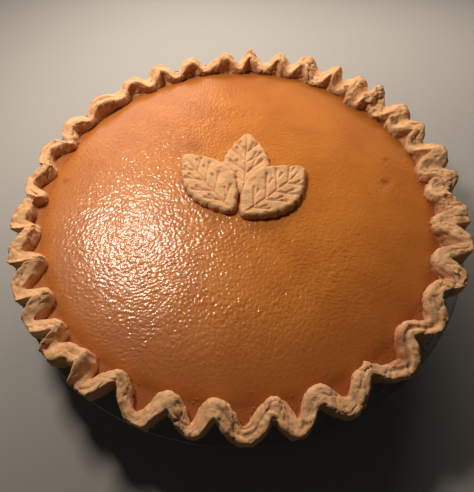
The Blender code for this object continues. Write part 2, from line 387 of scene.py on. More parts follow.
# %% Columns of the rim
# They are spread evenly along the ribbon, not round the circle, so its legs are as finely
# divided as its bends.
RIM_COLUMNS = 1500
dense_angle = np.linspace(0, math.tau, 8001)
dense_middle, _ = ribbon(dense_angle)
steps_along = np.hypot(np.diff(dense_middle), dense_middle[1:] * np.diff(dense_angle))
passed = np.concatenate([[0], np.cumsum(steps_along)])
rim_angle = np.interp(np.arange(RIM_COLUMNS) / RIM_COLUMNS * passed[-1], passed, dense_angle)
print("ribbon", round(passed[-1] / MM), "mm long,", FLUTES, "flutes")


# %% [markdown]
# ## Baked pastry
#
# Shortcrust is flour, fat and a little water: dry, matt and slightly rough, pale gold with
# browner spots where it stood closest to the heat. The colour wanders over about 8 mm, a finer
# mottle shows the flour, and where custard ran against the rim it baked on as a reddish,
# shinier film. Two numbers stored on the mesh say where: `toast_and_shade` is how brown it is,
# with painted shade added on the rim's inner side at the back, in the leaves' veins and low on
# their sides, and `film` how much custard stuck to it.

# %% Baked shortcrust
BAKED_ON_CUSTARD = "A5603C"


def shortcrust(name, pale, golden, brown):
    """Dry baked dough: no gloss, soft colour changes, fine cracks and pores."""
    made, tree, shader = new_material(name)
    place = add_node(tree, "ShaderNodeTexCoord").outputs["Object"]
    toast_and_shade = add_node(tree, "ShaderNodeAttribute", attribute_name="toast_and_shade").outputs["Fac"]
    film = add_node(tree, "ShaderNodeAttribute", attribute_name="film").outputs["Fac"]
    wide = add_node(tree, "ShaderNodeTexNoise", {"Vector": place, "Scale": 1 / (8 * MM), "Detail": 3.0})
    fine = add_node(tree, "ShaderNodeTexNoise", {"Vector": place, "Scale": 1 / (1.1 * MM), "Detail": 4.0})
    pores = add_node(tree, "ShaderNodeTexVoronoi", {"Vector": place, "Scale": 1 / (1.6 * MM)})
    mottle = add_node(tree, "ShaderNodeMapRange", {"Value": wide, "From Min": 0.35, "From Max": 0.68})
    base = add_node(
        tree, "ShaderNodeMix", {"Factor": mottle, "A": linear(pale), "B": linear(golden)}, data_type="RGBA"
    )
    # The toast number darkens the dough towards brown: baking, and in places painted shade.
    uneven = add_node(tree, "ShaderNodeMath", {0: toast_and_shade, 1: fine}, operation="ADD")
    toast_and_shade_level = add_node(tree, "ShaderNodeMapRange", {"Value": uneven, "From Min": 0.62, "From Max": 1.45})
    darkened = add_node(
        tree, "ShaderNodeMix", {"Factor": toast_and_shade_level, "A": base, "B": linear(brown)}, data_type="RGBA"
    )
    patchy = add_node(tree, "ShaderNodeMath", {0: film, 1: mottle}, operation="ADD")
    stained = add_node(tree, "ShaderNodeMapRange", {"Value": patchy, "From Min": 0.35, "From Max": 1.5})
    covered = add_node(tree, "ShaderNodeMath", {0: stained, 1: film}, operation="MULTIPLY")
    film_colour = linear(BAKED_ON_CUSTARD)
    colour = add_node(
        tree, "ShaderNodeMix", {"Factor": covered, "A": darkened, "B": film_colour}, data_type="RGBA"
    )
    rough = add_node(tree, "ShaderNodeMapRange", {"Value": covered, "To Min": 0.80, "To Max": 0.30})
    pits = add_node(tree, "ShaderNodeMapRange", {"Value": pores, "From Min": 0.05, "From Max": 0.4})
    relief = add_node(tree, "ShaderNodeMath", {0: fine, 1: pits}, operation="ADD")
    grain = add_node(tree, "ShaderNodeBump", {"Height": relief, "Strength": 0.5, "Distance": 0.3 * MM})
    tree.links.new(colour.outputs["Result"], shader.inputs["Base Color"])
    tree.links.new(rough.outputs["Result"], shader.inputs["Roughness"])
    tree.links.new(grain.outputs["Normal"], shader.inputs["Normal"])
    shader.inputs["Specular IOR Level"].default_value = 0.3
    return made


rim_pastry = shortcrust("baked shortcrust", "EBBA8B", "E1AB79", "A2693F")
leaf_pastry = shortcrust("pale baked shortcrust", "E7B686", "DEAA78", "A56E44")
print("materials:", rim_pastry.name, "and", leaf_pastry.name)


# %% [markdown]
# ## Relief of the dough
#
# A tree of Geometry Nodes moves every point along its normal: broad lumps from the fingers and
# smaller ones from bits of fat in the dough, open cracks between the cells of a Voronoi
# pattern, round pits where steam came out, and, where a mesh says it is `flaky`, thin layers
# one above the other. The rim and the leaves share the tree, and differ in their sizes only.

# %% Dough relief
DOUGH_SIZES = {
    "Lump Size": 5 * MM,
    "Lump Height": 2.2 * MM,
    "Grain Size": 1.8 * MM,
    "Grain Height": 0.8 * MM,
    "Crack Spacing": 6 * MM,
    "Crack Depth": 1.1 * MM,
    "Pit Spacing": 4 * MM,
    "Pit Depth": 1.0 * MM,
    "Layer Spacing": 1.7 * MM,
    "Layer Height": 0.7 * MM,
}


def noise_height(tree, given, place, details):
    """The sum of some noises; each name has a size and a height among the tree's inputs."""
    height = 0.0
    for part, detail in details.items():
        scale = add_node(tree, "ShaderNodeMath", {0: 1.0, 1: given[part + " Size"]}, operation="DIVIDE")
        noise = add_node(tree, "ShaderNodeTexNoise", {"Vector": place, "Scale": scale, "Detail": detail})
        level = add_node(tree, "ShaderNodeMath", {0: noise, 1: -0.5}, operation="ADD")
        terms = {0: level, 1: given[part + " Height"], 2: height}
        height = add_node(tree, "ShaderNodeMath", terms, operation="MULTIPLY_ADD")
    return height


def dough_relief(finish):
    """Moves the points of a piece of dough along their normals."""
    tree, given = new_tree("relief of " + finish.name, DOUGH_SIZES)
    place = add_node(tree, "GeometryNodeInputPosition")
    normal = add_node(tree, "GeometryNodeInputNormal")
    height = noise_height(tree, given, place, {"Lump": 1.0, "Grain": 2.0})

    warp = add_node(tree, "ShaderNodeTexNoise", {"Vector": place, "Scale": 1 / (4 * MM)})
    offset = add_node(
        tree, "ShaderNodeVectorMath", {0: warp.outputs["Color"], "Scale": 3 * MM}, operation="SCALE"
    )
    bent = add_node(tree, "ShaderNodeVectorMath", {0: place, 1: offset}, operation="ADD")
    where = add_node(tree, "ShaderNodeTexNoise", {"Vector": place, "Scale": 1 / (15 * MM)})
    open_here = add_node(tree, "ShaderNodeMapRange", {"Value": where, "From Min": 0.45, "From Max": 0.55})
    spacing = add_node(tree, "ShaderNodeMath", {0: 1.0, 1: given["Crack Spacing"]}, operation="DIVIDE")
    cells = add_node(
        tree, "ShaderNodeTexVoronoi", {"Vector": bent, "Scale": spacing}, feature="DISTANCE_TO_EDGE"
    )
    line = add_node(
        tree, "ShaderNodeMapRange", {"Value": cells, "From Max": 0.075, "To Min": -1.0, "To Max": 0.0}
    )
    cracked = add_node(tree, "ShaderNodeMath", {0: line, 1: open_here}, operation="MULTIPLY")
    height = add_node(
        tree, "ShaderNodeMath", {0: cracked, 1: given["Crack Depth"], 2: height}, operation="MULTIPLY_ADD"
    )

    spacing = add_node(tree, "ShaderNodeMath", {0: 1.0, 1: given["Pit Spacing"]}, operation="DIVIDE")
    cells = add_node(tree, "ShaderNodeTexVoronoi", {"Vector": place, "Scale": spacing})
    hole = add_node(
        tree, "ShaderNodeMapRange", {"Value": cells, "From Max": 0.3, "To Min": -1.0, "To Max": 0.0}
    )
    draw = add_node(tree, "ShaderNodeSeparateXYZ", {"Vector": cells.outputs["Color"]})
    chosen = add_node(tree, "ShaderNodeMath", {0: draw, 1: 0.7}, operation="GREATER_THAN")
    pitted = add_node(tree, "ShaderNodeMath", {0: hole, 1: chosen}, operation="MULTIPLY")
    height = add_node(
        tree, "ShaderNodeMath", {0: pitted, 1: given["Pit Depth"], 2: height}, operation="MULTIPLY_ADD"
    )

    flaky = add_node(tree, "GeometryNodeInputNamedAttribute", {"Name": "flaky"}, data_type="FLOAT")
    up = add_node(tree, "ShaderNodeSeparateXYZ", {"Vector": place}).outputs["Z"]
    layer = add_node(tree, "ShaderNodeMath", {0: up, 1: given["Layer Spacing"]}, operation="DIVIDE")
    wavy = add_node(tree, "ShaderNodeMath", {0: where, 1: 6.0, 2: layer}, operation="MULTIPLY_ADD")
    saw = add_node(tree, "ShaderNodeMath", {0: wavy}, operation="FRACT")
    level = add_node(tree, "ShaderNodeMath", {0: saw, 1: -0.5}, operation="ADD")
    layered = add_node(tree, "ShaderNodeMath", {0: level, 1: flaky}, operation="MULTIPLY")
    height = add_node(
        tree, "ShaderNodeMath", {0: layered, 1: given["Layer Height"], 2: height}, operation="MULTIPLY_ADD"
    )

    shift = add_node(tree, "ShaderNodeVectorMath", {0: normal, "Scale": height}, operation="SCALE")
    moved = add_node(tree, "GeometryNodeSetPosition", {"Geometry": given["Geometry"], "Offset": shift})
    close_tree(tree, moved, finish)
    return tree


rim_relief = dough_relief(rim_pastry)
leaf_relief = dough_relief(leaf_pastry)
print("relief trees:", len(rim_relief.nodes), "nodes each")


# %% [markdown]
# ## The rim
#
# A section through the dough is drawn at every column: from its foot on the glass, up the
# outside, over the flat top and down into the pocket behind it. In front the inner bends stand
# higher and hide the pockets. At the back the outer ones stand higher and slope down to the
# filling, as open scoops. The tops lean a little to one side, most at the left, where the dough
# folded over itself. A few nubs of dough stick out, and along some of the tops runs a crease.

# %% Section of the rim
FOOT_RADIUS = 119 * MM
FOOT_INSIDE = 117 * MM
LEAN = 1.4 * MM
FOLD_LEAN = 3.4 * MM
ROWS_BETWEEN = 4
OVERHANG = 48.5 * MM  # lowest part of a bend that stands over the filling
FILLING_SIDE = 113.0 * MM
POCKET_SHALLOW = 46.9 * MM  # floor of the pockets at the back
POCKET_DEEP = 45.2 * MM  # and in front, where custard covers it
HIDDEN_LIP = (113.5 * MM, 45.0 * MM)  # radius and height: the dough ends under the custard
HIDDEN_END = (108.5 * MM, 43.5 * MM)
ROUGH = (42, 20)  # degrees and width: here the rim came apart in layers
FOLDED = (172, 38)
SPILT = (309, 4.5)  # custard ran over the top and baked on
FILM_TOWARDS = 290  # degrees; in front more custard stuck to the pockets
NUBS = (  # degrees, width, how far they stick out in mm; less than 0 is a dent
    (186, 2.6, 2.4),
    (193, 1.6, -1.6),
    (231, 1.6, 1.8),
    (116, 1.8, 2.2),
    (341, 2.0, 1.8),
    (300, 1.5, -1.4),
)


def smooth_rows(controls, steps):
    """Extra rows on a smooth curve through control rows (rows, columns, values)."""
    padded = np.concatenate([controls[:1], controls, controls[-1:]])
    rows = []
    for k in range(len(controls) - 1):
        a, b, c, d = padded[k : k + 4]
        for t in np.arange(steps) / steps:
            bent = (2 * a - 5 * b + 4 * c - d) * t**2 + (3 * b - a - 3 * c + d) * t**3
            rows.append(0.5 * (2 * b + (c - a) * t + bent))
    return np.stack([*rows, controls[-1]])


def rim_points(angle):
    """Points (rows, columns, 3) of the rim, with its browning and painted shade, its film and its flakiness.
    """
    middle, swing = ribbon(angle)
    inner, outer = ribbon_sides(angle)
    degrees = np.degrees(angle)
    count = flute_count(angle)
    behind = facing(degrees, SCOOPS_TOWARDS, -0.25, 0.55)
    foot = PLATE_HEIGHT - 0.2 * MM
    slant = CREST_SLANT * np.cos(angle - math.radians(SLANT_TOWARDS))
    rough_place = hill(degrees, *ROUGH)
    circle = polar(angle, OUTER_LINE, 0)
    edge_noise = lattice_noise(circle, 3.2 * MM, 12)
    rise = CREST + slant * swing + CREST_WANDER * wander(count, 11) - foot
    rise = rise + (0.35 + 0.7 * rough_place) * MM * edge_noise
    crease = np.clip(lattice_noise(circle, 11 * MM, 14) - 0.2, 0, 1) * 1.8 * MM / rise
    out = outer - middle
    back = inner - middle
    level = np.ones_like(angle)
    outward = smooth_step(swing, -0.6, 0.7)
    sloping = behind * outward
    run = np.maximum(1.5 * MM * outward, SCOOP_FILL * behind * (inner - FILLING_SIDE))
    pocket = inner - run
    floor = POCKET_DEEP + (POCKET_SHALLOW - POCKET_DEEP) * sloping
    bend_low = np.maximum(foot + 0.5 * rise, OVERHANG)
    slope_middle = bend_low - (bend_low - floor) * 0.72
    controls = [
        (FOOT_INSIDE * level, foot * level),
        (np.maximum(middle + 0.85 * out, FOOT_RADIUS), foot * level),
        (np.maximum(middle + 1.02 * out, FOOT_RADIUS), foot + 0.2 * rise),
        (middle + 1.02 * out, foot + 0.55 * rise),
        (middle + 0.98 * out, foot + 0.82 * rise),
        (middle + 0.79 * out, foot + 0.98 * rise),
        (middle + 0.35 * out, foot + 1.01 * rise),
        (middle, foot + (1.0 - crease) * rise),
        (middle + 0.35 * back, foot + 1.01 * rise),
        (middle + 0.79 * back, foot + 0.98 * rise),
        (middle + 0.98 * back, np.maximum(foot + 0.81 * rise, OVERHANG + 0.8 * MM)),
        (middle + 1.02 * back - 0.35 * sloping * run, bend_low + (0.8 + 1.4 * rough_place) * MM * sloping),
        (inner - (0.45 + 0.27 * sloping) * run, slope_middle + 0.8 * MM * rough_place),
        (pocket, floor),
        (np.minimum(pocket - 1.6 * MM, HIDDEN_LIP[0]), np.minimum(floor - 1.8 * MM, HIDDEN_LIP[1])),
        (HIDDEN_END[0] * level, HIDDEN_END[1] * level),
    ]
    controls = np.array(controls).transpose(0, 2, 1)
    section = smooth_rows(controls, ROWS_BETWEEN)
    radius, height = section[..., 0], section[..., 1]
    share = np.clip((height - foot) / rise, 0, 1.1)
    for at, width, push in NUBS:
        radius = radius + push * MM * hill(degrees, at, width / 2) * smooth_step(share, 0.35, 0.8)
    radius = np.minimum(radius, CRUST_REACH)
    folded = hill(degrees, *FOLDED)
    lean = (LEAN * wander(count, 17) + FOLD_LEAN * folded * np.sin(math.tau * count)) / OUTER_LINE
    across = np.linspace(0, 1, len(section))[:, None] * level
    inside = smooth_step(across, 0.60, 0.72)
    edge_of_top = hill(across * 100, 33, 5) + hill(across * 100, 62, 5)
    # Browner edges of the top at the outer bends; the darker inner side at the back is painted shade, where
    # the faces look away from the lamps.
    toast_and_shade = 0.06 + 0.30 * edge_of_top * hill(swing * 10, 10, 9) + 0.36 * inside * behind
    # Darker low on the outside, down to the foot.
    toast_and_shade = toast_and_shade + 0.25 * (1 - smooth_step(across, 0.15, 0.30))
    in_front = facing(degrees, FILM_TOWARDS, -0.3, 0.7)
    low = 1 - smooth_step(height, 46.5 * MM, 50.5 * MM)
    film = low * inside * (0.45 + 0.5 * in_front)
    spilt = hill(degrees, *SPILT) * smooth_step(across, 0.40, 0.55)
    film = np.maximum(film, 0.85 * spilt)
    flaky = rough_place * (0.35 + 0.65 * smooth_step(across, 0.45, 0.6))
    return polar(angle + lean * share**2, radius, height), toast_and_shade, film, flaky * level


# %% Build the rim
points, *numbers = rim_points(rim_angle)
rim = add_mesh("rim_form", points.reshape(-1, 3), grid_faces(len(points), RIM_COLUMNS, wrap_rows=True))
for label, values in zip(("toast_and_shade", "film", "flaky"), numbers):
    add_attribute(rim, label, values)
rim = bake_tree(rim, rim_relief, {}, "crust_rim", rim_pastry)


# %% [markdown]
# ## The crust under the filling
#
# Inside the plate the pastry is a plain shell, pressed against the glass. It only shows
# through the glass, from the side and from below, and its base is browner than its wall.

# %% Shell of the crust
CRUST_WALL = 3.4 * MM
INTO_GLASS = 0.3 * MM
SHELL_SIDES = 192
BASE_TOP = 12 * MM  # below this height the shell counts as the base
shell_outside = bowl_line(-INTO_GLASS, PLATE_HEIGHT - 0.3 * MM)
shell_inside = bowl_line(CRUST_WALL, PLATE_HEIGHT + 1.5 * MM)
shell = turned("crust_shell", shell_outside + shell_inside[::-1], SHELL_SIDES)
shell_height = np.array([v.co.z for v in shell.data.vertices])
add_attribute(shell, "toast_and_shade", 0.35 + 0.25 * (shell_height < BASE_TOP))
add_attribute(shell, "film", 0 * shell_height)
shell.data.materials.append(rim_pastry)
print("shell", len(shell.data.polygons), "faces")


# %% [markdown]
# ## Set custard
#
# The filling is pumpkin, egg and cream, baked until it sets. Its skin is moist but not wet: a
# gloss broken up by fine pebbles about a millimetre across, which is why a lamp gives hundreds
# of small sparkles instead of one clear spot. Bump alone would only blur the sparkles, so the
# pebbles are in the mesh and the gloss under them is sharp; a rougher coat over it lays the
# soft haze round them. The colour is an even orange-brown with faint blotches. `edge` makes it
# redder along the crust, and `spots_and_shade` darker where a bubble burst and, as painted
# shade, in front.

# %% Pumpkin custard
def pumpkin_custard():
    """Moist set custard: sparkling, hazy and mottled orange-brown, redder along the crust."""
    made, tree, shader = new_material("set pumpkin custard")
    place = add_node(tree, "ShaderNodeTexCoord").outputs["Object"]
    spots_and_shade = add_node(tree, "ShaderNodeAttribute", attribute_name="spots_and_shade").outputs["Fac"]
    edge = add_node(tree, "ShaderNodeAttribute", attribute_name="edge").outputs["Fac"]
    wide = add_node(tree, "ShaderNodeTexNoise", {"Vector": place, "Scale": 1 / (22 * MM), "Detail": 3.0})
    fine = add_node(tree, "ShaderNodeTexNoise", {"Vector": place, "Scale": 1 / (1.0 * MM), "Detail": 1.0})
    blotch = add_node(tree, "ShaderNodeMapRange", {"Value": wide, "From Min": 0.38, "From Max": 0.66})
    colour = linear("CD7D2F")
    # The last colour darkens burst bubbles, and the front of the skin as painted shade.
    for factor, darker in ((blotch, "C07028"), (edge, "A6602F"), (spots_and_shade, "84431C")):
        colour = add_node(
            tree, "ShaderNodeMix", {"Factor": factor, "A": colour, "B": linear(darker)}, data_type="RGBA"
        )
    skin = add_node(tree, "ShaderNodeBump", {"Height": fine, "Strength": 1.0, "Distance": 0.10 * MM})
    tree.links.new(colour.outputs["Result"], shader.inputs["Base Color"])
    tree.links.new(skin.outputs["Normal"], shader.inputs["Normal"])
    shader.inputs["Roughness"].default_value = 0.15
    shader.inputs["Specular IOR Level"].default_value = 0.28
    shader.inputs["Coat Weight"].default_value = 0.58
    shader.inputs["Coat Roughness"].default_value = 0.38
    return made


custard = pumpkin_custard()
print("material:", custard.name)


# %% [markdown]
# ## The filling
#
# The top is a low dome that rounds off where it meets the crust. Its points lie on rings, six
# more on each ring than on the one before, so that they are evenly spaced from the middle to
# the edge. The outermost rings bend out and in with the ribbon of dough, so that custard fills
# the pockets of the rim. A node tree then raises the pebbles, with broader swells under them;
# `skin` says how high, because the skin is calmer along the crust and at the right.

# %% Shape of the filling
FILLING_EDGE = 46 * MM
FILLING_SHOULDER = 0.9 * MM
SHOULDER_WIDTH = 7 * MM
FILLING_DOME = 3.1 * MM
FILLING_RADIUS = 113.5 * MM
FILLING_REACH = 118 * MM
POCKETS_FROM = 108 * MM  # from here on the rings bend into the pockets of the rim
RINGS = 177
SKIRT = ((113 * MM, 43 * MM), (80 * MM, 10 * MM))  # radius and height of two rings below the top
BASE_HEIGHT = 10 * MM
# Painted shade: the filling is drawn darker towards this side, the front, away from the lamps.
SHADED_TOWARDS = 278  # degrees
CALM_TOWARDS = 20  # degrees
SPOTS = (  # place, radius, how dark, how deep: burst bubbles and browned patches
    ((88.9, 7.9), 2.6, 0.45, 0.8),
    ((92.6, 25.3), 1.6, 0.4, 0.2),
    ((-24.1, 42.1), 5.0, 0.45, 0.0),
    ((-104.0, 22.7), 1.8, 0.6, 0.2),
)


def filling_top(radius):
    """Height of the filling: a low dome that rounds off at its edge."""
    dome = FILLING_DOME * (1 - (radius / FILLING_RADIUS) ** 2)
    shoulder = np.clip((radius - FILLING_RADIUS) / SHOULDER_WIDTH + 1, 0, 1)
    return FILLING_EDGE + FILLING_SHOULDER * (1 - shoulder**2) + dome


def disc_points(rings, reach):
    """Angle and radius of evenly spaced points: ring n has 6 n of them."""
    ring = np.concatenate([np.full(6 * n, n) for n in range(1, rings + 1)])
    turn = np.concatenate([np.arange(6 * n) / (6 * n) for n in range(1, rings + 1)])
    return np.concatenate([[0], turn * math.tau]), np.concatenate([[0], ring * reach / rings])


def disc_faces(rings):
    """Triangles between those rings."""
    faces = [(0, 1 + k, 1 + (k + 1) % 6) for k in range(6)]
    for n in range(1, rings):
        inner_start, outer_start = 3 * n * (n - 1) + 1, 3 * n * (n + 1) + 1
        for sector in range(6):
            for k in range(n + 1):
                a = inner_start + (sector * n + k) % (6 * n)
                b = outer_start + sector * (n + 1) + k
                c = outer_start + (sector * (n + 1) + k + 1) % (6 * (n + 1))
                faces.append((a, b, c))
                if k < n:
                    faces.append((a, c, inner_start + (sector * n + k + 1) % (6 * n)))
    return faces


# %% Build the filling
angle, radius = disc_points(RINGS, FILLING_REACH)
into_dough, _ = ribbon(angle)
stretch = (into_dough - POCKETS_FROM) / (FILLING_REACH - POCKETS_FROM)
radius = np.where(radius > POCKETS_FROM, POCKETS_FROM + (radius - POCKETS_FROM) * stretch, radius)
height = filling_top(radius)
flat = polar(angle, radius, 0)
spots_and_shade = np.zeros_like(radius)
for place, size, dark, deep in SPOTS:
    away = np.hypot(*(flat[:, :2] / MM - place).T)
    spots_and_shade = np.maximum(spots_and_shade, dark * np.exp(-((away / size) ** 2)))
    height = height - deep * MM * np.exp(-((away / size) ** 2))
streaks = lattice_noise(flat, 16 * MM, 31)
edge = smooth_step(radius + 5 * MM * streaks, 76 * MM, 113 * MM) * 0.35
edge = edge + 0.45 * smooth_step(radius, 109 * MM, 114 * MM)
# Painted shade: the skin is darker towards the front, the side away from the lamps.
darkened = facing(np.degrees(angle), SHADED_TOWARDS, 0.1, 1.0) * smooth_step(radius, 55 * MM, 108 * MM)
top = polar(angle, radius, height)
around = 6 * RINGS
skirt = [polar(angle[-around:], r, z) for r, z in SKIRT]
points = np.vstack([top, *skirt, [[0, 0, BASE_HEIGHT]]])
faces = disc_faces(RINGS)
start = len(top) - around
for k in range(around):
    after = (k + 1) % around
    for ring_start in (start, start + around):
        below = ring_start + around
        faces.append((ring_start + after, ring_start + k, below + k, below + after))
    last = start + 2 * around
    faces.append((len(points) - 1, last + after, last + k))
filling = add_mesh("filling_form", points, faces)
extra = np.zeros(len(points) - len(top))
add_attribute(filling, "spots_and_shade", np.concatenate([np.maximum(spots_and_shade, 0.50 * darkened), extra]))
add_attribute(filling, "edge", np.concatenate([edge, extra + 1]))
calm = 0.6 * smooth_step(radius, 68 * MM, 104 * MM)
to_the_right = radius * np.cos(angle - math.radians(CALM_TOWARDS))
calm = np.maximum(calm, 0.55 * smooth_step(to_the_right, 28 * MM, 72 * MM))
add_attribute(filling, "skin", np.concatenate([1 - calm, extra]))


# %% Pebbled skin
CUSTARD_SIZES = {
    "Pebble Size": 0.95 * MM,
    "Pebble Height": 1.25 * MM,
    "Swell Size": 12 * MM,
    "Swell Height": 0.25 * MM,
}


def custard_relief(finish):
    """Pebbles and swells that move the skin up and down, and leave the sides alone."""
    tree, given = new_tree("relief of " + finish.name, CUSTARD_SIZES)
    place = add_node(tree, "GeometryNodeInputPosition")
    skin = add_node(tree, "GeometryNodeInputNamedAttribute", {"Name": "skin"}, data_type="FLOAT")
    height = noise_height(tree, given, place, {"Pebble": 1.0, "Swell": 1.0})
    height = add_node(tree, "ShaderNodeMath", {0: height, 1: skin}, operation="MULTIPLY")
    shift = add_node(tree, "ShaderNodeCombineXYZ", {"Z": height})
    moved = add_node(tree, "GeometryNodeSetPosition", {"Geometry": given["Geometry"], "Offset": shift})
    close_tree(tree, moved, finish)
    return tree


filling = bake_tree(filling, custard_relief(custard), {}, "filling_top", custard)


# %% [markdown]
# ## Leaves
#
# Each leaf was stamped out of rolled dough with a plunger cutter: a scalloped edge, a groove
# for the midrib, and four pairs of side veins pressed in as slender drops that fork. They baked
# on the filling, the left and right ones over the sides of the one behind. A leaf is a grid
# from stem to tip and from side to side, so its width, its crown and its veins are formulas.

# %% Leaf shape
LEAF_FULLNESS = 0.85  # less is blunter
LEAF_SCALLOPS = 9
SCALLOP_DEPTH = 0.7 * MM
LEAF_END = 0.7 * MM
LEAVES = {  # stem, tip, thickness, half width left and right, bend of the midrib, seed
    "leaf_back": ((5.0, 1.0), (9.2, 48.4), 4.0, (13.2, 13.0), 0.4, 21),
    "leaf_left": ((-2.8, -9.8), (-30.7, 33.2), 5.0, (12.1, 16.2), 1.2, 22),
    "leaf_right": ((2.2, -12.6), (41.1, 18.8), 5.0, (16.6, 14.4), -1.6, 23),
}
OVERLAP_LIFT = 0.9 * MM  # how far a leaf's side rises where it lies on the back one
LEAF_ROWS = 150
LEAF_LANES = 110
VEIN_PAIRS = 4
SIDE_VEIN = (0.80 * MM, 1.25 * MM)  # half width and depth
VEIN_FORK = (0.72 * MM, 1.15 * MM)
MIDRIB = (0.55 * MM, 1.1 * MM)


def leaf_half_width(along, widest):
    """Half width at a share of the length, with scallops on a pointed leaf."""
    body = widest * np.sin(np.pi * np.clip(along, 0, 1)) ** LEAF_FULLNESS
    return LEAF_END + body + SCALLOP_DEPTH * np.abs(np.sin(np.pi * LEAF_SCALLOPS * along))


def leaf_frame(name):
    """Stem, direction, sideways direction and length of a leaf, in metres."""
    stem = np.array(LEAVES[name][0]) * MM
    tip = np.array(LEAVES[name][1]) * MM
    length = math.dist(stem, tip)
    forward = (tip - stem) / length
    return stem, forward, np.array([-forward[1], forward[0]]), length


def depth_inside(name, x, y):
    """How far a place lies inside a leaf's outline; negative outside it."""
    stem, forward, sideways, length = leaf_frame(name)
    along = ((x - stem[0]) * forward[0] + (y - stem[1]) * forward[1]) / length
    side = (x - stem[0]) * sideways[0] + (y - stem[1]) * sideways[1]
    left, right = LEAVES[name][3]
    widest = np.where(side > 0, left, right) * MM
    across = leaf_half_width(np.clip(along, 0, 1), widest) - np.abs(side)
    return np.minimum(across, np.minimum(along, 1 - along) * length)


# %% Veins
def groove(along, side, start, end, width, depth):
    """A pressed line from start to end that gets wider and deeper: a drop-shaped vein."""
    line = end - start
    share = ((along - start[0]) * line[0] + (side - start[1]) * line[1]) / (line @ line)
    on = np.clip(share, 0, 1)
    away = np.hypot(along - start[0] - on * line[0], side - start[1] - on * line[1])
    size = width * (0.70 + 0.50 * on)
    return depth * (0.75 + 0.25 * on) * np.exp(-((away / size) ** 2))


def vein_depth(along, side, length, halves, bend, seed):
    """Depth of the midrib and of the pairs of forked side veins, all in metres."""
    random = np.random.default_rng(seed)
    curve = bend * MM * np.sin(np.pi * along / length)
    depth = MIDRIB[1] * np.exp(-(((side - curve) / MIDRIB[0]) ** 2))
    depth = depth * smooth_step(along / length, 0.03, 0.10) * (1 - smooth_step(along / length, 0.80, 0.92))
    for pair in range(VEIN_PAIRS):
        for hand, half in ((1, halves[0]), (-1, halves[1])):
            start = length * (0.14 + 0.175 * pair + 0.035 * (hand > 0) + random.uniform(-0.012, 0.012))
            slope = math.radians(random.uniform(40, 52))
            room = 0.70 * leaf_half_width(start / length + 0.12, half * MM)
            reach = room / math.sin(slope) * random.uniform(0.85, 1.05)
            foot = np.array([start, bend * MM * math.sin(math.pi * start / length)])
            direction = np.array([math.cos(slope), hand * math.sin(slope)])
            end = foot + reach * direction
            depth = np.maximum(depth, groove(along, side, foot, end, *SIDE_VEIN))
            slope = slope - math.radians(random.uniform(24, 34))
            fork = np.array([math.cos(slope), hand * math.sin(slope)])
            fork_start = foot + 0.45 * reach * direction
            fork_end = fork_start + 0.42 * reach * fork
            depth = np.maximum(depth, groove(along, side, fork_start, fork_end, *VEIN_FORK))
    return depth


# %% Build the leaves
LEAF_SIZES = {
    "Lump Size": 5 * MM,
    "Lump Height": 0.6 * MM,
    "Grain Size": 1.5 * MM,
    "Grain Height": 0.28 * MM,
    "Crack Depth": 0.15 * MM,
    "Pit Depth": 0.25 * MM,
}


